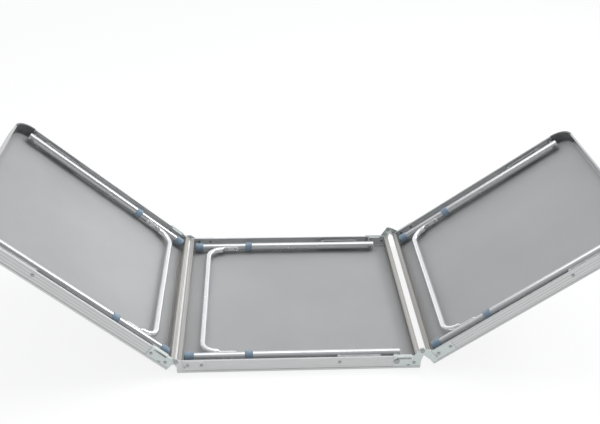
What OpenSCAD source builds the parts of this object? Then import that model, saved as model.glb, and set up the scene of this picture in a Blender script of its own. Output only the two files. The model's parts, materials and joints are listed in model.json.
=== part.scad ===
// Tri-fold table, drawn upside down: the middle panel lies on its tabletop face and both wings are raised.
// The origin is the middle of that face, +X runs along the table, +Y to the back and +Z up.
// Each panel is drawn in its own frame: x runs from its foot end to its leg-pivot end, z up from the tabletop.

/* [Panels] */
// Length of one panel along the table
panel_l = 600; // [560:10:700]
// Width of the table
panel_w = 600; // [500:10:800]
// Height of the rails
rail_h = 35; // [35:1:40]
// Thickness of the tabletop board
board_t = 4; // [3:0.5:5]
// Outer radius of the corners of the wings
corner_r = 52; // [46:1:52]

/* [Rails] */
// Thickness of a rail's upright web
web_t = 1.6; // [1.4:0.1:2]
// Thickness of a rail's flanges
flange_t = 1.5; // [1.2:0.1:1.6]
// Width of the lip of a side rail or outer end rail
lip_w = 5; // [4:0.5:7]
// Width of the lip of an end rail at a joint
joint_lip_w = 12; // [10:0.5:12]
// Depth of the turned-down edge of that lip
turn_down = 7; // [5:0.5:9]
// Width of the trim that shows on the tabletop
trim_w = 8; // [6:0.5:9]
// Width of the ledge that holds the board from below
ledge_w = 10; // [8:0.5:10]
// Depth of the groove line on the outside of a rail
groove_d = 0.8; // [0.4:0.1:0.9]
// Wall thickness of the plastic corner pieces
corner_wall = 2.6; // [2:0.1:3]

/* [Hinges] */
// Angle of the left wing above the middle panel
left_rise = 41; // [0:1:90]
// Angle of the right wing above the middle panel
right_rise = 36; // [0:1:90]
// Half of the gap between two panels that lie flat
end_gap = 1.5; // [1.5:0.1:2.5]
// Gap between the lips of the left wing and the middle panel when folded
lip_gap = 2.5; // [2.5:0.1:4]
// Gap between the right wing and the left wing when folded
stack_gap = 1.5; // [1.5:0.1:3]
// Thickness of a hinge leaf
leaf_t = 2; // [1.5:0.1:2.5]
// Length of a hinge leaf along its rail
leaf_l = 68; // [66:1:80]
// Radius of the ear round the hinge pin
ear_r = 8; // [7:0.5:9]
// Diameter of a hinge pin
hinge_pin_d = 6; // [5:0.5:7]
// Free space beside a moving hinge leaf
leaf_play = 0.4; // [0.3:0.05:0.5]

/* [Legs] */
// Outer diameter of the leg tubes
tube_d = 22; // [21.9:0.1:22.2]
// Outer diameter of the telescopic tubes
inner_d = 19; // [18.5:0.1:19]
// Wall thickness of all tubes
tube_wall = 1.2; // [1:0.1:1.2]
// Distance from a rail's outer face to the axis of its leg tube
leg_inset = 34; // [34:0.5:38]
// Height of the leg pivot above the tabletop face
pivot_h = 22.5; // [22:0.5:23]
// Distance from a panel's end to the leg pivot in it
pivot_inset = 60; // [60:1:62]
// Gap between a panel's end and the feet
foot_gap = 15.5; // [15.5:0.5:20]
// Diameter of a foot cap
foot_d = 24; // [23:0.5:24]
// Length of a foot cap
foot_l = 25; // [20:1:30]
// Diameter of a collar
collar_d = 26; // [25:0.5:26]
// Length of a collar
collar_l = 20; // [16:1:24]
// Distance from a panel's foot end to the middle of its collars
collar_at = 176; // [170:1:182]
// Travel of the telescopic tubes
leg_travel = 80; // [60:5:80]
// Diameter of a leg pivot pin
pivot_pin_d = 8; // [7:0.5:9]

/* [Cross brace] */
// Diameter of the cross brace tube
brace_d = 16; // [14:0.5:16]
// Distance from a panel's foot end to the cross brace
brace_at = 58; // [54:1:62]
// Radius of the bends in the cross brace
brace_bend = 38; // [34:1:44]
// Distance from a panel's foot end to the tips of the cross brace
brace_tip = 146; // [140:1:150]

/* [Struts] */
// Distance from the leg pivot to both ends of a strut
strut_reach = 141; // [135:1:143]
// Width of a strut link
strut_w = 15; // [12:0.5:16]
// Thickness of a strut link
strut_t = 2; // [1.5:0.1:2]
// Diameter of the rivets of the struts
strut_pin_d = 6; // [5:0.5:6]

/* [Buttons and rivets] */
// Diameter of a snap button
button_d = 7; // [6:0.5:8]
// Travel of a snap button
button_travel = 3; // [2:0.5:3]
// Distance from a panel's foot end to its snap buttons
button_at = 294; // [285:1:300]
// Diameter of the small rivets
rivet_d = 5; // [4:0.5:5]

/* [Hidden] */
$fn = 64;
panels = ["left", "centre", "right"];
half_w = panel_w / 2;
run = 0.1; // how much wider a hole is than the pin that turns in it
low_pivot_h = rail_h + lip_gap / 2;
high_pivot_h = (2 * rail_h + lip_gap + rail_h + stack_gap) / 2;
board_base = flange_t;
ledge_base = board_base + board_t;
groove_h = 1.4;
slide_play = 0.3; // radial gap between the telescopic tubes
bore_d = inner_d + 2 * slide_play;
leg_y = half_w - leg_inset;
pivot_x = panel_l - pivot_inset;
foot_x = foot_gap;
foot_end_t = 4;
inner_end_x = pivot_x - strut_reach - 12;
tube_end_x = pivot_x + 12;
brace_y = leg_y - inner_d / 2 - brace_d / 2 - 0.2;
brace_flat_t = 3; // the ends of the cross brace are pressed flat
brace_rivets = [111, 136];
strut_x = pivot_x - strut_reach;
link_l = strut_reach / sqrt(2);
// distances inwards from a rail's outer face
rail_link_y = 12.6;
leg_link_y = rail_link_y + strut_t + 1.4;
tube_face_y = leg_inset - tube_d / 2;
head_h = 1.6;
leaf_base_h = ledge_base + flange_t + 1;
leaf_rivet_a = [17, 18];
leaf_rivet_b = [26, pivot_h];
far_rivet_x = pivot_inset;
step_x = 15; // where the stepped leaf changes its layer
outer_layer = leaf_t + leaf_play;

// ---- placing ----

// Moves a panel's own frame to where that panel is.
module on_panel(p) {
    if (p == "centre")
        translate([-panel_l / 2, 0, 0]) children();
    if (p == "right")
        translate([panel_l / 2 + end_gap, 0, high_pivot_h]) rotate([0, -right_rise, 0])
            translate([end_gap, 0, -high_pivot_h]) children();
    if (p == "left")
        translate([-panel_l / 2 - end_gap, 0, low_pivot_h]) rotate([0, left_rise, 0])
            translate([-end_gap, 0, -low_pivot_h]) mirror([1, 0, 0]) children();
}

// Turns a panel's frame end for end, for what sits at its leg-pivot end.
module from_pivot_end() {
    translate([panel_l, 0, 0]) mirror([1, 0, 0]) children();
}

module front_and_back() {
    children();
    mirror([0, 1, 0]) children();
}

// A frame on the back rail's outer face, with z pointing inwards.
module on_rail(x, h) {
    translate([x, half_w, h]) rotate([90, 0, 0]) children();
}

// ---- shapes used more than once ----

module tube(d, l) {
    difference() {
        cylinder(d = d, h = l);
        translate([0, 0, -1]) cylinder(d = d - 2 * tube_wall, h = l + 2);
    }
}

// A low rivet head that stands on z = 0 and points down.
module head(d, h = head_h) {
    rotate_extrude()
        polygon([[0, 0], [d / 2, 0], [d / 2, -h * 0.45], [d / 2 - h * 0.55, -h], [0, -h]]);
}

// A rail's section: outer face on x = 0, inside at negative x, y up.
module rail_section(wall, lip) {
    difference() {
        union() {
            translate([-wall, 0]) square([wall, rail_h]);
            translate([-trim_w, 0]) square([trim_w, flange_t]);
            translate([-ledge_w, ledge_base]) square([ledge_w, flange_t]);
            translate([-lip, rail_h - flange_t]) square([lip, flange_t]);
        }
        translate([-groove_d, ledge_base]) square([groove_d + 1, groove_h]);
    }
}

// ---- panels ----

// A board's outline: inset along its straight edges, corner_inset round the corners of a wing.
module board_outline(p, inset, corner_inset) {
    round_x = panel_l - corner_r;
    round_y = half_w - corner_r;
    if (p == "centre")
        translate([inset, inset - half_w]) square([panel_l - 2 * inset, panel_w - 2 * inset]);
    else {
        translate([inset, inset - half_w]) square([round_x - inset, panel_w - 2 * inset]);
        translate([inset, -round_y]) square([panel_l - 2 * inset, 2 * round_y]);
        for (side = [-1, 1])
            translate([round_x, side * round_y]) circle(corner_r - corner_inset);
    }
}

// The board lies under the trims at its edges and is flush with them in between.
module board(p) {
    flush_inset = trim_w + 0.3;
    color("darkgray") {
        translate([0, 0, board_base]) linear_extrude(board_t) board_outline(p, 2, corner_wall);
        linear_extrude(board_base + 1) board_outline(p, flush_inset, flush_inset);
    }
}

// The back side rail. A wing's rail stops where its corner piece begins.
module side_rail(p) {
    rail_l = p == "centre" ? panel_l : panel_l - corner_r;
    leaf_a_x = p == "left" ? [leaf_rivet_a.x, far_rivet_x] : [];
    leaf_b_x = p == "left" ? [] : [leaf_rivet_b.x, far_rivet_x];
    color("silver") difference() {
        translate([0, half_w, 0]) rotate([90, 0, 90])
            linear_extrude(rail_l) rail_section(web_t, lip_w);
        on_rail(strut_x, pivot_h) rivet_hole(strut_pin_d);
        on_rail(pivot_x, pivot_h) rivet_hole(pivot_pin_d);
        for (x = leaf_a_x)
            on_rail(x, leaf_rivet_a.y) rivet_hole(rivet_d);
        for (x = leaf_b_x)
            on_rail(x, leaf_rivet_b.y) rivet_hole(rivet_d);
        if (p == "centre")
            on_rail(panel_l - leaf_rivet_a.x, leaf_rivet_a.y) rivet_hole(rivet_d);
        if (p == "left")
            leaf_slot();
        if (p == "centre")
            from_pivot_end() leaf_slot();
    }
}

module rivet_hole(d) {
    translate([0, 0, -10]) cylinder(d = d, h = 20);
}

// The end rail at a joint, with its outer face on x = 0.
module joint_end_rail() {
    flange_clear = ledge_w + 0.2;
    lip_clear = lip_w + 0.2;
    web_len = panel_w - 2 * web_t;
    color("silver") difference() {
        translate([0, web_len / 2, 0]) rotate([90, 0, 0]) linear_extrude(web_len) {
            mirror([1, 0]) rail_section(web_t, joint_lip_w);
            translate([joint_lip_w - flange_t, rail_h - turn_down]) square([flange_t, turn_down]);
        }
        for (side = [0, 1])
            mirror([0, side, 0]) {
                translate([-1, half_w - flange_clear, -1])
                    cube([panel_l, flange_clear, ledge_base + flange_t + 1.2]);
                translate([-1, half_w - lip_clear, rail_h - flange_t - 0.2])
                    cube([panel_l, lip_clear, flange_t + 1]);
            }
    }
}

// The end rail at a wing's outer end, between the two corner pieces.
module outer_end_rail() {
    len = panel_w - 2 * corner_r;
    color("silver") translate([panel_l, len / 2, 0]) rotate([90, 0, 0])
        linear_extrude(len) rail_section(web_t, lip_w);
}

module corners() {
    color("dimgray") front_and_back()
        translate([panel_l - corner_r, half_w - corner_r, 0])
            rotate_extrude(angle = 90)
                translate([corner_r, 0]) rail_section(corner_wall, lip_w);
}

// ---- hinges ----

// The point where a line from point to a circle touches the circle; side picks one of the two.
function tangent(centre, r, point, side) =
    let (d = point - centre, a = atan2(d.y, d.x) + side * acos(r / norm(d)))
    centre + r * [cos(a), sin(a)];

// A leaf's outline, x inwards from the panel's end and y up, with the ear round the pin at pivot_y.
module leaf_outline(pivot_y) {
    centre = [-end_gap, pivot_y];
    inner_base = [pivot_y > rail_h + ear_r ? 20 : step_x - 3, rail_h];
    end_base = [0, rail_h - 14];
    translate([0, leaf_base_h]) square([leaf_l, rail_h - leaf_base_h]);
    translate(centre) circle(ear_r);
    polygon([centre, tangent(centre, ear_r, inner_base, 1), inner_base, [inner_base.x, end_base.y],
             end_base, tangent(centre, ear_r, end_base, -1)]);
}

module outline_plate(pivot_y, t) {
    translate([0, t, 0]) rotate([90, 0, 0]) linear_extrude(t) leaf_outline(pivot_y);
}

// The slot along the bend of a flanged leaf, which goes on through the rail's web.
module leaf_slot() {
    slot_h = 5;
    on_rail(24, rail_h - flange_t - slot_h) translate([0, 0, -leaf_t - 1]) cube([36, slot_h, 10]);
}

// The back leaf that wraps over the rail's lip. Its ear keeps clear of the rails that swing past it.
module flanged_leaf(pivot_y, pin_hole, far_hole, far_h) {
    flange_w = 9.5;
    color("lightslategray") difference() {
        translate([0, half_w, 0]) {
            difference() {
                outline_plate(pivot_y, leaf_t);
                translate([-20, -1, 0]) cube([20, 1 + leaf_play, pivot_y + 20]);
                translate([-20, -1, rail_h]) cube([60, 1 + leaf_play, pivot_y]);
            }
            translate([22, leaf_t - flange_w, rail_h])
                cube([leaf_l - 22, flange_w, flange_t]);
        }
        on_rail(-end_gap, pivot_y) rivet_hole(pin_hole);
        on_rail(leaf_rivet_a.x, leaf_rivet_a.y) rivet_hole(rivet_d);
        on_rail(far_rivet_x, far_h) rivet_hole(far_hole);
        on_rail(26, leaf_base_h + 2) translate([0, 0, -leaf_t - 1]) cube([9, 2.4, leaf_t + 2]);
        leaf_slot();
    }
}

// The back leaf whose ear steps outwards, over the ear of the flanged leaf.
module stepped_leaf(pivot_y, pin_hole) {
    step = [[-20, outer_layer], [step_x - outer_layer, outer_layer], [step_x, 0], [leaf_l + 1, 0],
            [leaf_l + 1, leaf_t], [step_x + 1, leaf_t], [step_x - outer_layer + 1, outer_layer + leaf_t],
            [-20, outer_layer + leaf_t]];
    color("lightslategray") difference() {
        translate([0, half_w, 0]) intersection() {
            outline_plate(pivot_y, outer_layer + leaf_t);
            linear_extrude(pivot_y + 20) polygon(step);
        }
        on_rail(-end_gap, pivot_y) rivet_hole(pin_hole);
        for (x = [leaf_rivet_b.x, far_rivet_x])
            on_rail(x, leaf_rivet_b.y) rivet_hole(rivet_d);
        on_rail(step_x + 2, pivot_h - 7) translate([0, 0, -leaf_t - 1]) cube([3.4, 13, leaf_t + 2]);
    }
}

// The back hinge pin, its middle at the ears. head_play is the space under its outer head, and
// inner_head is added where nothing passes inside the ears.
module hinge_pin(head_play, inner_head) {
    outside = outer_layer + leaf_t;
    color("gainsboro") translate([0, half_w, 0]) rotate([90, 0, 0]) {
        translate([0, 0, -outside - head_play])
            cylinder(d = hinge_pin_d, h = outside + head_play - leaf_play);
        translate([0, 0, -outside - head_play]) head(12);
        if (inner_head)
            translate([0, 0, -leaf_play]) mirror([0, 0, 1]) head(10);
    }
}

// ---- rivets and pins in the rails ----

// A small rivet through a leaf and the rail's web.
module leaf_rivet(x, h) {
    on_rail(x, h) {
        translate([0, 0, -leaf_t]) cylinder(d = rivet_d, h = leaf_t + web_t + 1);
        translate([0, 0, -leaf_t]) head(9);
        translate([0, 0, web_t]) mirror([0, 0, 1]) head(8, 1);
    }
}

// The shouldered rivet on which the rail link of a strut turns.
module strut_rivet() {
    on_rail(strut_x, pivot_h) {
        head(11, 2);
        translate([0, 0, web_t]) cylinder(d = 11, h = rail_link_y - web_t - 0.3);
        cylinder(d = strut_pin_d, h = rail_link_y + strut_t + 0.5);
    }
}

module rail_rivets(p) {
    color("gainsboro") front_and_back() {
        strut_rivet();
        if (p == "left") {
            leaf_rivet(leaf_rivet_a.x, leaf_rivet_a.y);
            leaf_rivet(far_rivet_x, leaf_rivet_a.y);
        } else {
            leaf_rivet(leaf_rivet_b.x, leaf_rivet_b.y);
            leaf_rivet(far_rivet_x, leaf_rivet_b.y);
        }
        if (p == "centre")
            leaf_rivet(panel_l - leaf_rivet_a.x, leaf_rivet_a.y);
    }
}

// Leg pivot pins: head outside, a shoulder between rail and tube, and a head inside the tube's far side.
module leg_pivot_pins(p) {
    seat = p == "centre" ? leaf_t : 0;
    pin_end = leg_inset + tube_d / 2 + 0.3;
    color("gainsboro") front_and_back() on_rail(pivot_x, pivot_h) {
        translate([0, 0, -seat]) head(15, 2.5);
        translate([0, 0, -seat]) cylinder(d = pivot_pin_d, h = seat + pin_end);
        translate([0, 0, web_t]) cylinder(d = 13, h = tube_face_y - web_t - 0.3);
        translate([0, 0, pin_end]) mirror([0, 0, 1]) head(12);
    }
}

// ---- leg frames ----

// A frame on the back leg's axis at x, with z along the tube towards its pivot end.
module on_leg(x) {
    translate([x, leg_y, pivot_h]) rotate([0, 90, 0]) children();
}

// A hole across the back leg, from y = from to y = to.
module cross_hole(x, d, from, to) {
    translate([x, to, pivot_h]) rotate([90, 0, 0]) cylinder(d = d, h = to - from);
}

module leg_tubes() {
    color("gainsboro") front_and_back() difference() {
        on_leg(collar_at) tube(tube_d, tube_end_x - collar_at);
        cross_hole(pivot_x, pivot_pin_d + run, leg_y - tube_d, leg_y + tube_d);
        cross_hole(strut_x, strut_pin_d + run, leg_y, leg_y + tube_d);
        cross_hole(button_at, button_d + 2 * run, leg_y - tube_d, leg_y);
    }
}

module leg_collars() {
    color("lightsteelblue") front_and_back() difference() {
        on_leg(collar_at - collar_l / 2) cylinder(d = collar_d, h = collar_l);
        on_leg(collar_at - collar_l) cylinder(d = bore_d, h = 2 * collar_l);
        on_leg(collar_at) cylinder(d = tube_d, h = collar_l);
    }
}

// Each tube has one button hole for the short leg and one for the long leg.
module leg_extensions() {
    start = foot_x + foot_end_t;
    color("gainsboro") front_and_back() difference() {
        on_leg(start) tube(inner_d, inner_end_x - start);
        for (x = [button_at, button_at + leg_travel])
            cross_hole(x, button_d + 6 * run, leg_y - tube_d, leg_y);
        for (x = brace_rivets)
            cross_hole(x, rivet_d, leg_y - tube_d, leg_y + tube_d);
    }
}

module leg_feet() {
    round_in = 2.5;
    color("lightsteelblue") front_and_back() on_leg(foot_x) difference() {
        rotate_extrude()
            polygon([[0, 0], [foot_d / 2 - round_in, 0], [foot_d / 2, round_in], [foot_d / 2, foot_l], [0, foot_l]]);
        translate([0, 0, foot_end_t]) cylinder(d = inner_d, h = foot_l);
    }
}

// The core of a brace end, from the round bend to the flat tip, with a flat end part of height h.
module pressed_end(d, h, t, tip) {
    squeeze = 10;
    translate([brace_at + brace_bend, brace_y, pivot_h]) {
        hull() {
            rotate([0, 90, 0]) cylinder(d = d, h = 0.2, $fn = 32);
            translate([squeeze, brace_d / 2 - brace_flat_t / 2 - t / 2, -h / 2]) cube([0.2, t, h]);
        }
        translate([squeeze, brace_d / 2 - brace_flat_t / 2 - t / 2, -h / 2])
            cube([tip - brace_at - brace_bend - squeeze, t, h]);
    }
}

// One bent tube: a bar across the table, two bends, and two ends pressed flat on the telescopic tubes.
module leg_brace() {
    bend_x = brace_at + brace_bend;
    bend_y = brace_y - brace_bend;
    bore = brace_d - 2 * tube_wall;
    slit = brace_flat_t - 2 * tube_wall;
    color("gainsboro") difference() {
        union() {
            translate([brace_at, bend_y, pivot_h]) rotate([90, 0, 0]) tube(brace_d, 2 * bend_y);
            front_and_back() {
                translate([bend_x, bend_y, pivot_h]) rotate([0, 0, 90]) rotate_extrude(angle = 90)
                    translate([brace_bend, 0]) difference() {
                        circle(d = brace_d);
                        circle(d = bore);
                    }
                difference() {
                    pressed_end(brace_d, 13, brace_flat_t, brace_tip);
                    pressed_end(bore, 10, slit, brace_tip + 1);
                }
            }
        }
        for (x = brace_rivets)
            cross_hole(x, rivet_d, -half_w, half_w);
    }
}

// Rivets that pin the brace's arms to the telescopic tubes.
module leg_brace_rivets() {
    outer = leg_y + inner_d / 2;
    inner = brace_y + brace_d / 2 - brace_flat_t;
    color("gainsboro") front_and_back() for (x = brace_rivets)
        translate([x, outer, pivot_h]) rotate([90, 0, 0]) {
            cylinder(d = rivet_d, h = outer - inner);
            head(8, 1.2);
            translate([0, 0, outer - inner]) mirror([0, 0, 1]) head(8, 1.2);
        }
}

// ---- struts ----

// A flat link from x = 0 to x = link_l with a hole at the origin, standing on z = 0.
module link(hole_d) {
    difference() {
        union() {
            cylinder(d = strut_w, h = strut_t);
            translate([link_l, 0, 0]) cylinder(d = strut_w, h = strut_t);
            translate([0, -strut_w / 2, 0]) cube([link_l, strut_w, strut_t]);
        }
        translate([0, 0, -1]) cylinder(d = hole_d, h = strut_t + 2);
        translate([link_l, 0, -1]) cylinder(d = strut_pin_d, h = strut_t + 2);
    }
}

// The links on the rails, each with the outer half of its knee rivet.
module rail_struts() {
    color("silver") front_and_back() on_rail(strut_x, pivot_h) translate([0, 0, rail_link_y]) {
        link(strut_pin_d + run);
        translate([link_l, 0, 0]) {
            cylinder(d = strut_pin_d, h = strut_t + 0.7);
            head(10);
        }
    }
}

// The links on the leg tubes, each with the inner half of its knee rivet and its pin in the tube.
module leg_struts() {
    pin_in_tube = tube_wall + 2;
    to_tube = tube_face_y - leg_link_y;
    color("silver") front_and_back() on_rail(strut_x, pivot_h) translate([0, 0, leg_link_y]) {
        link(strut_pin_d);
        translate([0, 0, -0.3]) cylinder(d = strut_pin_d, h = to_tube + pin_in_tube + 0.3);
        translate([0, 0, strut_t]) difference() {
            cylinder(d = 11, h = to_tube - strut_t - 0.3);
            translate([0, 0, -1]) cylinder(d = strut_pin_d, h = to_tube);
        }
        translate([link_l, 0, 0]) {
            cylinder(d = strut_pin_d, h = strut_t);
            translate([0, 0, strut_t]) mirror([0, 0, 1]) head(10);
        }
    }
}

// ---- snap buttons ----

// The back button: it stands out of the tube towards the middle of the table.
module button() {
    shank = leg_y - tube_d / 2 + tube_wall;
    reach = tube_wall + button_travel;
    color("silver") translate([button_at, shank, pivot_h]) rotate([90, 0, 0])
        rotate_extrude()
            polygon([[0, 0], [button_d / 2, 0], [button_d / 2, reach - 1.2], [button_d / 2 - 1.2, reach], [0, reach]]);
}

// ---- the table ----

for (p = panels) {
    on_panel(p) board(p);
    on_panel(p) side_rail(p);
    on_panel(p) mirror([0, 1, 0]) side_rail(p);
    on_panel(p) rail_rivets(p);
    on_panel(p) leg_pivot_pins(p);
    on_panel(p) leg_tubes();
    on_panel(p) leg_collars();
    on_panel(p) leg_extensions();
    on_panel(p) leg_brace();
    on_panel(p) leg_brace_rivets();
    on_panel(p) leg_feet();
    on_panel(p) rail_struts();
    on_panel(p) leg_struts();
    on_panel(p) button();
    on_panel(p) mirror([0, 1, 0]) button();
}
for (p = ["left", "right"]) {
    on_panel(p) corners();
    on_panel(p) outer_end_rail();
    on_panel(p) joint_end_rail();
}
on_panel("centre") joint_end_rail();  // centre_left_end_rail
on_panel("centre") from_pivot_end() joint_end_rail();  // centre_right_end_rail
on_panel("left") front_and_back() flanged_leaf(low_pivot_h, hinge_pin_d + run, rivet_d, leaf_rivet_a.y);  // left_hinge_wing_leaves
on_panel("centre") front_and_back() stepped_leaf(low_pivot_h, hinge_pin_d);  // left_hinge_centre_leaves
translate([-panel_l / 2 - end_gap, 0, low_pivot_h]) front_and_back() hinge_pin(0, false);  // left_hinge_pins
on_panel("centre") from_pivot_end() front_and_back()  // right_hinge_centre_leaves
        flanged_leaf(high_pivot_h, hinge_pin_d, pivot_pin_d, pivot_h);
on_panel("right") front_and_back() stepped_leaf(high_pivot_h, hinge_pin_d + run);  // right_hinge_wing_leaves
translate([panel_l / 2 + end_gap, 0, high_pivot_h]) front_and_back() hinge_pin(0.3, true);  // right_hinge_pins
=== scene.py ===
"""Looks of the folding table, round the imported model: materials, finer pieces, floor, lights and camera."""

import json
import math

import bmesh
import bpy
from mathutils import Matrix, Vector


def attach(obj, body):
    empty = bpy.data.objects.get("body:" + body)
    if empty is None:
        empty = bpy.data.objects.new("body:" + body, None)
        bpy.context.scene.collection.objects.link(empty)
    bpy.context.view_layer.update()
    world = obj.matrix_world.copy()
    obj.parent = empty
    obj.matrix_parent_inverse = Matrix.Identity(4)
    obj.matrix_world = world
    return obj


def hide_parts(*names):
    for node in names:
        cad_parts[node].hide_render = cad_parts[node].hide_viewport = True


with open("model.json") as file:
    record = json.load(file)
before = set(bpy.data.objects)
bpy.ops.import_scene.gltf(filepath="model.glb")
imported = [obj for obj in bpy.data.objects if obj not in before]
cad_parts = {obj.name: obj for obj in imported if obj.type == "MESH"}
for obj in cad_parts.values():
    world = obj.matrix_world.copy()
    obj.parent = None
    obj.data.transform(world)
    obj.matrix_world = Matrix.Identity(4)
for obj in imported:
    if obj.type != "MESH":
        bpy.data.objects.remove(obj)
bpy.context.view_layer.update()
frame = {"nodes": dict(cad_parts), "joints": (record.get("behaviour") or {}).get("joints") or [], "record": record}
nodes = frame["nodes"]
joints = {joint["name"]: joint for joint in frame["joints"]}

PANELS = ("left", "centre", "right")
RISE = {
    "left": math.radians(joints["left_wing_fold"]["range_deg"][1]),
    "centre": 0.0,
    "right": -math.radians(joints["right_wing_fold"]["range_deg"][1]),
}


# ---- camera, lights and floor ----

CAMERA_AT = (-0.1087, -2.0236, 1.3713)
CAMERA_PAN = math.radians(3.44)
CAMERA_TILT = math.radians(28.25)
CAMERA_ROLL = math.radians(0.92)
CAMERA_LENS = 52.78
CAMERA_SENSOR = 36

# name, place, what it points at, size and watts, and for a narrow light its spread in degrees
LIGHTS = (
    ("key", (2.3, 1.3, 1.9), (-0.2, 0, 0.1), (1.3, 1.3), 28),
    ("overhead", (0.05, 0.45, 1.65), (0, 0, 0), (1.2, 1.2), 7.5),
    ("on_left_wing", (0.2, 0.1, 1.3), (-0.4, 0, 0.1), (0.3, 0.3), 0.12, 30),
    ("front_fill", (-0.4, -2.6, 2.3), (0, 0, 0), (2.0, 1.2), 3),
)

# the sky is brightest along SKY_UP, and its greys go from the darkest to the brightest
SKY_UP = (0, 0.5, 0.866)
SKY = ((0.0, (0.24, 0.245, 0.25, 1)), (0.45, (0.45, 0.46, 0.47, 1)), (1.0, (0.92, 0.93, 0.95, 1)))
HORIZON = (1, 1, 1, 1)
BACKDROP = (1.4, 1.4, 1.45, 1)
FLOOR_HALF = 200


def make_camera():
    camera = bpy.data.objects.new("camera", bpy.data.cameras.new("camera"))
    bpy.context.scene.collection.objects.link(camera)
    turn = (Matrix.Rotation(-CAMERA_PAN, 3, "Z") @ Matrix.Rotation(math.pi / 2 - CAMERA_TILT, 3, "X")
            @ Matrix.Rotation(CAMERA_ROLL, 3, "Z"))
    camera.location = CAMERA_AT
    camera.rotation_euler = turn.to_euler()
    camera.data.lens = CAMERA_LENS
    camera.data.sensor_width = CAMERA_SENSOR
    bpy.context.scene.camera = camera


def area_light(name, at, target, size, watts, spread=180):
    light = bpy.data.lights.new(name, "AREA")
    light.spread = math.radians(spread)
    light.shape = "RECTANGLE"
    light.size, light.size_y = size
    light.energy = watts
    lamp = bpy.data.objects.new(name, light)
    bpy.context.scene.collection.objects.link(lamp)
    lamp.location = at
    lamp.rotation_euler = (Vector(target) - Vector(at)).to_track_quat("-Z", "Y").to_euler()


def make_lights():
    for light in LIGHTS:
        area_light(*light)


def colour_mix(tree, fac, base, top):
    """base where fac is 0, and the fixed colour top where it is 1."""
    made = tree.nodes.new("ShaderNodeMix")
    made.data_type = "RGBA"
    made.inputs["B"].default_value = top
    tree.links.new(fac, made.inputs["Factor"])
    tree.links.new(base, made.inputs["A"])
    return made.outputs["Result"]


def make_world():
    """A studio: bright overhead, dark at the front, pale round the horizon, with a white backdrop behind."""
    world = bpy.data.worlds.new("studio")
    bpy.context.scene.world = world
    world.use_nodes = True
    tree = world.node_tree
    background = tree.nodes["Background"]
    background.inputs["Strength"].default_value = 1.0
    place = tree.nodes.new("ShaderNodeTexCoord")
    facing = tree.nodes.new("ShaderNodeVectorMath")
    facing.operation = "DOT_PRODUCT"
    facing.inputs[1].default_value = SKY_UP
    ramp = tree.nodes.new("ShaderNodeValToRGB")
    stops = ramp.color_ramp.elements
    stops.new(SKY[1][0])
    for stop, (position, colour) in zip(stops, SKY):
        stop.position, stop.color = position, colour
    split = tree.nodes.new("ShaderNodeSeparateXYZ")
    backdrop = tree.nodes.new("ShaderNodeMath")
    backdrop.operation = "MULTIPLY"
    tree.links.new(place.outputs["Generated"], facing.inputs[0])
    tree.links.new(place.outputs["Generated"], split.inputs[0])
    tree.links.new(facing.outputs["Value"], ramp.inputs[0])
    tree.links.new(ramp_value(tree, split.outputs["Z"], 0.52, 0.05), backdrop.inputs[0])
    tree.links.new(ramp_value(tree, split.outputs["Y"], 0.35, 0.8), backdrop.inputs[1])
    pale = colour_mix(tree, ramp_value(tree, split.outputs["Z"], 0.2, 0.08), ramp.outputs[0], HORIZON)
    tree.links.new(colour_mix(tree, backdrop.outputs[0], pale, BACKDROP), background.inputs["Color"])


def ramp_value(tree, value, start, end):
    """0 where value is start, 1 where it is end, and smooth in between."""
    made = tree.nodes.new("ShaderNodeMapRange")
    made.interpolation_type = "SMOOTHSTEP"
    made.inputs["From Min"].default_value = start
    made.inputs["From Max"].default_value = end
    tree.links.new(value, made.inputs["Value"])
    return made.outputs[0]


def make_floor():
    mesh = bpy.data.meshes.new("floor")
    corners = [(x * FLOOR_HALF, y * FLOOR_HALF, 0) for x, y in ((-1, -1), (1, -1), (1, 1), (-1, 1))]
    mesh.from_pydata(corners, [], [(0, 1, 2, 3)])
    floor = bpy.data.objects.new("floor", mesh)
    bpy.context.scene.collection.objects.link(floor)
    material = bpy.data.materials.new("pale_floor")
    material.use_nodes = True
    shader = material.node_tree.nodes["Principled BSDF"]
    shader.inputs["Base Color"].default_value = (0.25, 0.25, 0.25, 1)
    shader.inputs["Roughness"].default_value = 0.9
    shader.inputs["Specular IOR Level"].default_value = 0.0
    shader.inputs["Emission Color"].default_value = (1, 1, 1, 1)
    shader.inputs["Emission Strength"].default_value = 0.8
    mesh.materials.append(material)


# ---- materials ----

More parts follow.
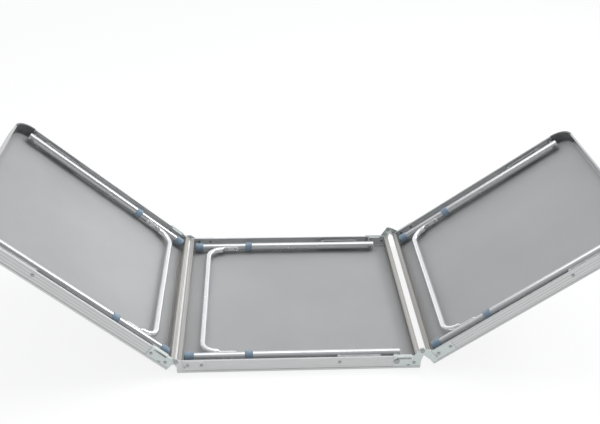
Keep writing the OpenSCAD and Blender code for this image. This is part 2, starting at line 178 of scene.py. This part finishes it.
class Paint:
    """A node material, built up from its shader. Coordinates are the object's own, turned with its panel."""

    def __init__(self, name, colour, metallic=0.0, specular=0.5, turn=0.0):
        self.material = bpy.data.materials.new(name)
        self.material.use_nodes = True
        self.tree = self.material.node_tree
        self.shader = self.tree.nodes["Principled BSDF"]
        self.colour = colour
        self.set("Metallic", metallic)
        self.set("Specular IOR Level", specular)
        place = self.tree.nodes.new("ShaderNodeTexCoord")
        self.place = self.tree.nodes.new("ShaderNodeVectorRotate")
        self.place.rotation_type = "Y_AXIS"
        self.place.inputs["Angle"].default_value = -turn
        self.link(place.outputs["Object"], self.place.inputs["Vector"])
        self.bump_from = None

    def set(self, socket, value):
        self.shader.inputs[socket].default_value = value

    def link(self, output, socket):
        self.tree.links.new(output, socket)

    def noise(self, scale, stretch=(1, 1, 1), detail=3.0, rough=0.5, distortion=0.0):
        """Noise with scale bumps a metre, times stretch along each axis."""
        spread = self.tree.nodes.new("ShaderNodeMapping")
        spread.inputs["Scale"].default_value = stretch
        self.link(self.place.outputs[0], spread.inputs["Vector"])
        made = self.tree.nodes.new("ShaderNodeTexNoise")
        made.inputs["Scale"].default_value = scale
        made.inputs["Detail"].default_value = detail
        made.inputs["Roughness"].default_value = rough
        made.inputs["Distortion"].default_value = distortion
        self.link(spread.outputs[0], made.inputs["Vector"])
        return made.outputs["Fac"]

    def flutes(self, period):
        """Waves up the height of the panel, one every period metres."""
        made = self.tree.nodes.new("ShaderNodeTexWave")
        made.wave_type = "BANDS"
        made.bands_direction = "Z"
        made.inputs["Scale"].default_value = math.pi / 10 / period
        self.link(self.place.outputs[0], made.inputs["Vector"])
        return made.outputs["Fac"]

    def spangle(self, scale):
        """Flat crystal cells, each with its own grey."""
        cells = self.tree.nodes.new("ShaderNodeTexVoronoi")
        cells.inputs["Scale"].default_value = scale
        self.link(self.place.outputs[0], cells.inputs["Vector"])
        grey = self.tree.nodes.new("ShaderNodeRGBToBW")
        self.link(cells.outputs["Color"], grey.inputs[0])
        return grey.outputs[0]

    def between(self, fac, low, high, low_at=0.3, high_at=0.7):
        """Maps fac from low_at to high_at onto low to high."""
        made = self.tree.nodes.new("ShaderNodeMapRange")
        for socket, value in (("From Min", low_at), ("From Max", high_at), ("To Min", low), ("To Max", high)):
            made.inputs[socket].default_value = value
        self.link(fac, made.inputs["Value"])
        return made.outputs[0]

    def blend(self, fac, low, high):
        """Mixes two colours by fac."""
        made = self.tree.nodes.new("ShaderNodeMix")
        made.data_type = "RGBA"
        made.inputs["A"].default_value = (*low, 1)
        made.inputs["B"].default_value = (*high, 1)
        self.link(fac, made.inputs["Factor"])
        return made.outputs["Result"]

    def tint(self, fac, darker, lighter, low_at=0.3, high_at=0.7):
        """Varies the colour by fac between darker and lighter times itself."""
        low = [c * darker for c in self.colour]
        high = [min(1.0, c * lighter) for c in self.colour]
        share = self.between(fac, 0, 1, low_at, high_at)
        self.link(self.blend(share, low, high), self.shader.inputs["Base Color"])

    def polish(self, fac, lower, higher, low_at=0.3, high_at=0.7):
        """Varies the roughness by fac between two values."""
        self.link(self.between(fac, lower, higher, low_at, high_at), self.shader.inputs["Roughness"])

    def bump(self, fac, height, strength=1.0):
        """Adds a bump of height metres on top of those before it."""
        made = self.tree.nodes.new("ShaderNodeBump")
        made.inputs["Strength"].default_value = strength
        made.inputs["Distance"].default_value = height
        self.link(fac, made.inputs["Height"])
        if self.bump_from is not None:
            self.link(self.bump_from, made.inputs["Normal"])
        self.bump_from = made.outputs[0]
        self.link(self.bump_from, self.shader.inputs["Normal"])


def board_paint(panel):
    """Grey laminate: a fine leather-like grain, faint clouds and dull scuffs."""
    paint = Paint(f"{panel}_board_laminate", (0.39, 0.395, 0.395), specular=0.5, turn=RISE[panel])
    clouds = paint.noise(5, detail=4)
    grain = paint.noise(900, detail=2)
    paint.tint(clouds, 0.96, 1.04)
    paint.polish(paint.noise(28, detail=5), 0.34, 0.44)
    paint.bump(grain, 0.00012, 0.35)
    return paint.material


def rail_paint(panel, along, painted_lighter=False):
    """Satin anodised extrusion with faint die lines along its length, and shallow flutes on the wings' rails.
    The back rails take a lighter, less metallic copy of the paint: painted light on their inner faces, which sit
    in shade.
    """
    stretch = (0.02, 1, 1) if along == "x" else (1, 0.02, 1)
    # painted light: a lighter, less metallic copy of the rail paint for the back rails, whose inner faces sit in
    # shade
    colour, metallic = ((0.72, 0.73, 0.73), 0.25) if painted_lighter else ((0.56, 0.57, 0.57), 0.7)
    name = f"{panel}_rail_anodised_{'painted_lighter' if painted_lighter else along}"
    paint = Paint(name, colour, metallic=metallic, turn=RISE[panel])
    lines = paint.noise(700, stretch, detail=3)
    if panel != "centre" and along == "x":
        flutes = paint.flutes(0.008)
        # the flutes' bump is their real relief; the tint in step with it is painted highlight on the ridges and
        # painted shade in the hollows
        paint.tint(flutes, 0.9, 1.08, 0.1, 0.9)
        paint.bump(flutes, 0.0004, 0.5)
    else:
        paint.tint(lines, 0.93, 1.05)
    paint.polish(paint.noise(60, detail=4), 0.32, 0.44)
    paint.bump(lines, 0.00001, 0.2)
    return paint.material


def joint_rail_painted_shade(panel):
    """The inner faces and lips of the end rails at the joints: a darker, duller copy of the rail paint, painted
    shade between the panels, with strong streaks along them.
    """
    # painted shade: darker and less metallic than the other rails, for the end rails in the joints
    paint = Paint(f"{panel}_joint_rail", (0.43, 0.42, 0.40), metallic=0.2, turn=RISE[panel])
    lines = paint.noise(260, (1, 0.004, 1), detail=2)
    paint.tint(lines, 0.74, 1.16)
    paint.polish(paint.noise(60, detail=4), 0.42, 0.52)
    paint.bump(lines, 0.00002, 0.3)
    return paint.material


def tube_paint(panel, along):
    """Drawn and polished tube: bright, with fine lines along it and a few dull patches.
    The bent brace gets a whiter, less metallic copy of the paint, a painted highlight.
    """
    stretch = (0.03, 1, 1) if along == "x" else (1, 1, 1)
    if along == "x":
        colour, metallic, smoothest, roughest = (0.64, 0.65, 0.655), 0.95, 0.26, 0.34
    # painted highlight: the brace, which runs along y, is whiter than the tubes along x
    else:
        colour, metallic, smoothest, roughest = (0.91, 0.915, 0.92), 0.8, 0.17, 0.25
    paint = Paint(f"{panel}_tube_bright_{along}", colour, metallic=metallic, turn=RISE[panel])
    lines = paint.noise(700, stretch, detail=2)
    paint.tint(lines, 0.96, 1.02)
    paint.polish(paint.noise(30, detail=4), smoothest, roughest)
    paint.bump(lines, 0.000006, 0.15)
    return paint.material


def galvanised_paint(panel):
    """Zinc plate with a soft spangle and a slight green cast."""
    paint = Paint(f"{panel}_galvanised", (0.56, 0.61, 0.60), metallic=0.85, turn=RISE[panel])
    spangle = paint.spangle(260)
    paint.tint(spangle, 0.93, 1.04, 0.1, 0.9)
    paint.polish(spangle, 0.32, 0.44, 0.1, 0.9)
    paint.bump(paint.noise(320, detail=3), 0.00002, 0.2)
    return paint.material


def strut_paint(panel):
    paint = Paint(f"{panel}_strut_zinc", (0.60, 0.61, 0.62), metallic=0.9, turn=RISE[panel])
    paint.tint(paint.noise(120, detail=5), 0.88, 1.06)
    paint.polish(paint.noise(500, (0.1, 1, 1), detail=3), 0.26, 0.42)
    paint.bump(paint.noise(420, detail=3), 0.00002, 0.2)
    return paint.material


def rivet_paint(name="rivet_steel", colour=(0.36, 0.37, 0.37)):
    paint = Paint(name, colour, metallic=0.9)
    paint.tint(paint.noise(400, detail=4), 0.82, 1.08)
    paint.polish(paint.noise(900, detail=3), 0.22, 0.42)
    paint.bump(paint.noise(700, detail=3), 0.00002, 0.2)
    return paint.material


def button_paint():
    paint = Paint("button_steel", (0.64, 0.65, 0.66), metallic=1.0)
    paint.tint(paint.noise(600, detail=4), 0.85, 1.06)
    paint.polish(paint.noise(900, detail=4), 0.12, 0.28)
    return paint.material


def foot_paint():
    """Blue-grey moulded plastic with a fine matt texture."""
    paint = Paint("blue_grey_plastic", (0.255, 0.335, 0.42), specular=0.4)
    paint.tint(paint.noise(60, detail=4), 0.9, 1.1)
    paint.polish(paint.noise(300, detail=4), 0.4, 0.58)
    paint.bump(paint.noise(1400, detail=3), 0.00006, 0.35)
    return paint.material


def corner_paint():
    """Dark grey moulded plastic with a fine matt texture."""
    paint = Paint("dark_grey_plastic", (0.18, 0.186, 0.188), specular=0.45)
    paint.tint(paint.noise(50, detail=4), 0.85, 1.15)
    paint.polish(paint.noise(260, detail=4), 0.4, 0.6)
    paint.bump(paint.noise(1400, detail=3), 0.00008, 0.35)
    return paint.material


def panel_of(node):
    return node.split("_")[0]


SLOT_OF = {part["node"]: part["material_slot"] for part in frame["record"]["subparts"]}
paints = {}


def paint_for(node):
    """The finer material of a node's slot, made once for each panel and direction that it is used in."""
    slot, panel = SLOT_OF[node], panel_of(node)
    across = node.endswith("end_rail") or node.endswith("brace")
    along = "y" if across else "x"
    if node == "left_hinge_centre_leaves":      # these look like the rail that they lie on
        key, make = ("rail_aluminium", "centre", "x", False), lambda: rail_paint("centre", "x")
    # the end rails in the joints take the darker copy of the rail paint, painted shade
    elif across and slot == "rail_aluminium" and "outer" not in node:
        key, make = ("joint_rail", panel), lambda: joint_rail_painted_shade(panel)
    elif slot == "board":
        key, make = (slot, panel), lambda: board_paint(panel)
    elif slot == "rail_aluminium":
        # the back rails get the lighter copy of the rail paint, painted light on faces in shade
        painted_lighter = node.endswith("back_rail")
        key, make = (slot, panel, along, painted_lighter), lambda: rail_paint(panel, along, painted_lighter)
    elif slot == "tube_aluminium":
        key, make = (slot, panel, along), lambda: tube_paint(panel, along)
    elif slot == "galvanised_steel":
        key, make = (slot, panel), lambda: galvanised_paint(panel)
    elif slot == "strut_steel":
        key, make = (slot, panel), lambda: strut_paint(panel)
    elif node.endswith("brace_rivets"):
        # painted highlight: the brace's rivets take a light copy of the rivet paint, so that they sit in the brace
        # ends' highlight
        key, make = ("rivet_painted_highlight",), lambda: rivet_paint("rivet_painted_highlight", (0.66, 0.67, 0.67))
    else:
        key, make = (slot,), {"rivet_steel": rivet_paint, "button_steel": button_paint,
                              "foot_plastic": foot_paint, "corner_plastic": corner_paint}[slot]
    if key not in paints:
        paints[key] = make()
    return paints[key]


# ---- CAD nodes: materials and softened edges ----

EDGE_ROUND = {"board": 0.0004, "rail_aluminium": 0.0003, "galvanised_steel": 0.0004, "strut_steel": 0.0004,
              "corner_plastic": 0.0007}


def dress_nodes():
    for name, piece in nodes.items():
        for place in piece.material_slots:
            place.material = paint_for(name)
        if SLOT_OF[name] in EDGE_ROUND:
            edge = piece.modifiers.new("edge", "BEVEL")
            edge.width = EDGE_ROUND[SLOT_OF[name]]
            edge.segments = 2
            edge.limit_method = "ANGLE"
            edge.angle_limit = math.radians(50)


# ---- pieces that take the place of plain CAD nodes, measured in millimetres in a panel's own frame ----

def joint_at(name):
    """Where a joint is at rest, in millimetres."""
    return [round(1000 * value, 3) for value in joints[name]["pos_m"]]


HALF_L = HALF_W = 300
HINGE_X = {side: joint_at(f"{side}_wing_fold")[0] for side in ("left", "right")}
HINGE_H = {side: joint_at(f"{side}_wing_fold")[2] for side in ("left", "right")}
END_GAP = HINGE_X["right"] - HALF_L
PIVOT_X = HALF_L + joint_at("centre_leg_fold")[0]
PIVOT_H = joint_at("centre_leg_fold")[2]
STRUT_X = HALF_L + joint_at("centre_rail_strut_turn")[0]
LEG_Y = 266
FOOT_AT, COLLAR_AT = 15.5, 176
BUTTON_AT = (294, 256.2, PIVOT_H)
BUTTON_R, BUTTON_RIM, BUTTON_TOP = 3.5, 2.4, 4.2
LEAF_RIVETS = {"left": [(17, 18), (60, 18)], "centre": [(26, 22.5), (60, 22.5), (583, 18)],
               "right": [(26, 22.5), (60, 22.5)]}
BRACE_RIVETS_X, BRACE_RIVETS_Y = (111, 136), 275.5
MM = Matrix.Scale(0.001, 4)


def panel_frame(panel):
    """From a panel's own frame in millimetres to the world in metres, at rest."""
    if panel == "centre":
        return MM @ Matrix.Translation((-HALF_L, 0, 0))
    hinge = Matrix.Translation((HINGE_X[panel], 0, HINGE_H[panel]))
    own = Matrix.Translation((END_GAP, 0, -HINGE_H[panel]))
    if panel == "left":
        own = Matrix.Translation((-END_GAP, 0, -HINGE_H[panel])) @ Matrix.Scale(-1, 4, (1, 0, 0))
    return MM @ hinge @ Matrix.Rotation(RISE[panel], 4, "Y") @ own


def panel_body(panel):
    return "centre_panel" if panel == "centre" else f"{panel}_wing"


def front_and_back(placed):
    return [placed, Matrix.Scale(-1, 4, (0, 1, 0)) @ placed]


def on_rail(x, h):
    """z points inwards from the back rail's outer face."""
    return Matrix.Translation((x, HALF_W, h)) @ Matrix.Rotation(math.pi / 2, 4, "X")


def on_leg(x):
    """z points along the back leg tube, towards its pivot."""
    return Matrix.Translation((x, LEG_Y, PIVOT_H)) @ Matrix.Rotation(math.pi / 2, 4, "Y")


def turned(mesh, placed, profile, steps=32, ring=False):
    """Adds a body of revolution about z. profile is a list of (radius, z); ring closes it on itself."""
    loops = []
    for radius, z in profile:
        if radius == 0:
            loops.append([mesh.verts.new(placed @ Vector((0, 0, z)))])
        else:
            turns = [2 * math.pi * i / steps for i in range(steps)]
            loops.append([mesh.verts.new(placed @ Vector((radius * math.cos(a), radius * math.sin(a), z)))
                          for a in turns])
    pairs = list(zip(loops, loops[1:])) + ([(loops[-1], loops[0])] if ring else [])
    for low, high in pairs:
        for i in range(steps):
            corners = [low[i % len(low)], low[(i + 1) % steps % len(low)],
                       high[(i + 1) % steps % len(high)], high[i % len(high)]]
            mesh.faces.new(list(dict.fromkeys(corners)))


def dome(radius, base, tip, steps=6):
    """A profile from the crown of a rivet head at tip to its rim at base."""
    rim = base + (tip - base) * 0.18
    points = [(0, tip)]
    for i in range(1, steps + 1):
        a = math.pi / 2 * i / steps
        points.append((radius * math.sin(a), rim + (tip - rim) * math.cos(a)))
    return points + [(radius, base)]


def pin(outer_head, shaft, inner_head):
    """A pin's profile: outer head (radius, base, tip), steps of the shaft as (radius, z), inner head."""
    start = dome(*outer_head) if outer_head else []
    end = dome(*inner_head)[::-1] if inner_head else []
    return start + shaft + end


def finish(mesh, name, body, node, angle=35):
    """Makes the object that takes node's place and rides on body."""
    bmesh.ops.remove_doubles(mesh, verts=mesh.verts, dist=1e-7)
    bmesh.ops.recalc_face_normals(mesh, faces=mesh.faces)
    for face in mesh.faces:
        face.smooth = True
    for edge in mesh.edges:
        edge.smooth = edge.calc_face_angle(0) < math.radians(angle)
    data = bpy.data.meshes.new(name)
    mesh.to_mesh(data)
    mesh.free()
    data.materials.append(paint_for(node))
    piece = bpy.data.objects.new(name, data)
    bpy.context.scene.collection.objects.link(piece)
    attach(piece, body)
    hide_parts(node)


FOOT = [(0, 0), (8.2, 0), (10.4, 0.6), (11.6, 1.8), (12, 3.4), (12, 8), (11.5, 8.6), (11.5, 9.6), (12, 10.2),
        (12, 12.6), (11.5, 13.2), (11.5, 14.2), (12, 14.8), (12, 24), (11.3, 25), (9.9, 25), (9.5, 24.6),
        (9.5, 4), (0, 4)]
COLLAR = [(11, 10), (11.2, 10), (12.2, 9.8), (13, 9), (13, 5.4), (12.5, 4.8), (12.5, -4.8), (13, -5.4),
          (13, -8), (12.4, -9.4), (11, -10), (10, -10), (9.8, -9.8), (9.8, 0), (11, 0)]


def make_feet_and_collars(panel):
    place = panel_frame(panel)
    for node, body, profile, at, ring in (("leg_feet", "leg_extension", FOOT, FOOT_AT, False),
                                          ("leg_collars", "leg", COLLAR, COLLAR_AT, True)):
        mesh = bmesh.new()
        for side in front_and_back(on_leg(at)):
            turned(mesh, place @ side, profile, 40, ring)
        finish(mesh, f"{panel}_{node}_moulded", f"{panel}_{body}", f"{panel}_{node}")


def leaf_rivet():
    """Its outer head sits on a hinge leaf 2 mm thick, outside the rail, and its inner head in the channel."""
    return pin((4.5, -2, -3.6), [(2.5, -2), (2.5, 1.6)], (4, 1.6, 2.6))


def make_rail_rivets(panel):
    place = panel_frame(panel)
    mesh = bmesh.new()
    for x, h in LEAF_RIVETS[panel]:
        for side in front_and_back(on_rail(x, h)):
            turned(mesh, place @ side, leaf_rivet(), 24)
    shoulder = [(3, 0), (3, 1.6), (5.1, 1.6), (5.5, 2), (5.5, 11.9), (5.1, 12.3), (3, 12.3), (3, 14.7),
                (2.6, 15.1), (0, 15.1)]
    for side in front_and_back(on_rail(STRUT_X, PIVOT_H)):
        turned(mesh, place @ side, pin((4.4, 0, -1.8), shoulder, None), 28)
    finish(mesh, f"{panel}_rail_rivets_domed", panel_body(panel), f"{panel}_rail_rivets")


def make_leg_pins(panel):
    seat = -2 if panel == "centre" else 0
    shaft = [(4, seat), (4, 1.6), (6.1, 1.6), (6.5, 2), (6.5, 22.3), (6.1, 22.7), (4, 22.7), (4, 45.3)]
    place = panel_frame(panel)
    mesh = bmesh.new()
    for side in front_and_back(on_rail(PIVOT_X, PIVOT_H)):
        turned(mesh, place @ side, pin((7.5, seat, seat - 2.5), shaft, (6, 45.3, 46.9)), 36)
    finish(mesh, f"{panel}_leg_pins_domed", panel_body(panel), f"{panel}_leg_pivot_pins")


def make_hinge_pins(side_name):
    play = 0.3 if side_name == "right" else 0
    outside = -(4.4 + play)
    inner_head = (5, -0.4, 1.2) if side_name == "right" else None
    shaft = [(3, outside), (3, -0.4)] + ([] if inner_head else [(0, -0.4)])
    place = MM @ Matrix.Translation((HINGE_X[side_name], 0, 0))
    mesh = bmesh.new()
    for side in front_and_back(on_rail(0, HINGE_H[side_name])):
        turned(mesh, place @ side, pin((6, outside, outside - 1.6), shaft, inner_head), 32)
    finish(mesh, f"{side_name}_hinge_pins_domed", "centre_panel", f"{side_name}_hinge_pins")


def make_buttons(panel):
    place = panel_frame(panel)
    back = Matrix.Translation(BUTTON_AT) @ Matrix.Rotation(math.pi / 2, 4, "X")
    for name, side in zip(("back", "front"), front_and_back(back)):
        mesh = bmesh.new()
        crown = dome(BUTTON_R, BUTTON_RIM, BUTTON_TOP)[::-1][1:]
        turned(mesh, place @ side, [(0, 0), (BUTTON_R, 0), (BUTTON_R, BUTTON_RIM)] + crown, 32)
        finish(mesh, f"{panel}_{name}_button_domed", f"{panel}_{name}_button", f"{panel}_{name}_button")


BRACE_AT, BRACE_BEND, BRACE_TIP, BRACE_Y = 58, 38, 146, 248.3
BRACE_R = 8
BEND_STEPS = 12
FLATTEN_L, FLATTEN_STEPS = 10, 8        # the stretch in which the round tube becomes a flat end
FLAT_HALF, FLAT_HIGH = 1.5, 6.5         # the flat end's half thickness and half height
TIP_L, TIP_STEPS = 8, 8


def brace_rings():
    """Centres, directions and sections of one half of the brace.
    Each is x, y, angle, half width, half height and power: 2 for a round section and more for a boxy one.
    """
    rings = [(BRACE_AT, 0, 0, BRACE_R, BRACE_R, 2)]
    for i in range(BEND_STEPS + 1):
        a = math.pi / 2 * i / BEND_STEPS
        rings.append((BRACE_AT + BRACE_BEND * (1 - math.cos(a)),
                      BRACE_Y - BRACE_BEND + BRACE_BEND * math.sin(a), a, BRACE_R, BRACE_R, 2))
    start = BRACE_AT + BRACE_BEND
    outer = BRACE_Y + BRACE_R
    for i in range(1, FLATTEN_STEPS + 1):
        t = i / FLATTEN_STEPS
        ease = t * t * (3 - 2 * t)
        half = BRACE_R + (FLAT_HALF - BRACE_R) * ease
        high = BRACE_R + (FLAT_HIGH - BRACE_R) * ease
        rings.append((start + FLATTEN_L * t, outer - half, math.pi / 2, half, high, 2 + 2 * ease))
    for i in range(TIP_STEPS + 1):
        a = math.pi / 2 * i / TIP_STEPS
        x = BRACE_TIP - TIP_L * (1 - math.sin(a))
        high = max(0.5, FLAT_HIGH * math.cos(a) ** 0.8)
        rings.append((x, outer - FLAT_HALF, math.pi / 2, FLAT_HALF, high, 4))
    return rings


def make_brace(panel):
    place = panel_frame(panel)
    mesh = bmesh.new()
    steps = 32
    half = brace_rings()
    for mirror in (1, -1):
        loops = []
        for x, y, a, wide, tall, power in half:
            loop = []
            for k in range(steps):
                t = 2 * math.pi * k / steps
                c, s = math.cos(t), math.sin(t)
                out = wide * math.copysign(abs(c) ** (2 / power), c)
                up = tall * math.copysign(abs(s) ** (2 / power), s)
                spot = Vector((x - out * math.cos(a), (y + out * math.sin(a)) * mirror, PIVOT_H + up))
                loop.append(mesh.verts.new(place @ spot))
            loops.append(loop)
        for low, high in zip(loops, loops[1:]):
            for i in range(steps):
                mesh.faces.new([low[i], low[(i + 1) % steps], high[(i + 1) % steps], high[i]])
        mesh.faces.new(loops[-1])
    finish(mesh, f"{panel}_leg_brace_bent", f"{panel}_leg_extension", f"{panel}_leg_brace", 60)


def make_brace_rivets(panel):
    place = panel_frame(panel)
    mesh = bmesh.new()
    for x in BRACE_RIVETS_X:
        spot = Matrix.Translation((x, BRACE_RIVETS_Y, PIVOT_H)) @ Matrix.Rotation(math.pi / 2, 4, "X")
        for side in front_and_back(spot):
            turned(mesh, place @ side, pin((4, 0, -1.2), [(2.5, 0), (2.5, 22.2)], (4, 22.2, 23.4)), 24)
    finish(mesh, f"{panel}_brace_rivets_domed", f"{panel}_leg_extension", f"{panel}_brace_rivets")


dress_nodes()
for panel in PANELS:
    make_feet_and_collars(panel)
    make_rail_rivets(panel)
    make_leg_pins(panel)
    make_buttons(panel)
    make_brace(panel)
    make_brace_rivets(panel)
for side_name in ("left", "right"):
    make_hinge_pins(side_name)
make_camera()
make_lights()
make_world()
make_floor()
bpy.context.scene.view_settings.view_transform = "Standard"
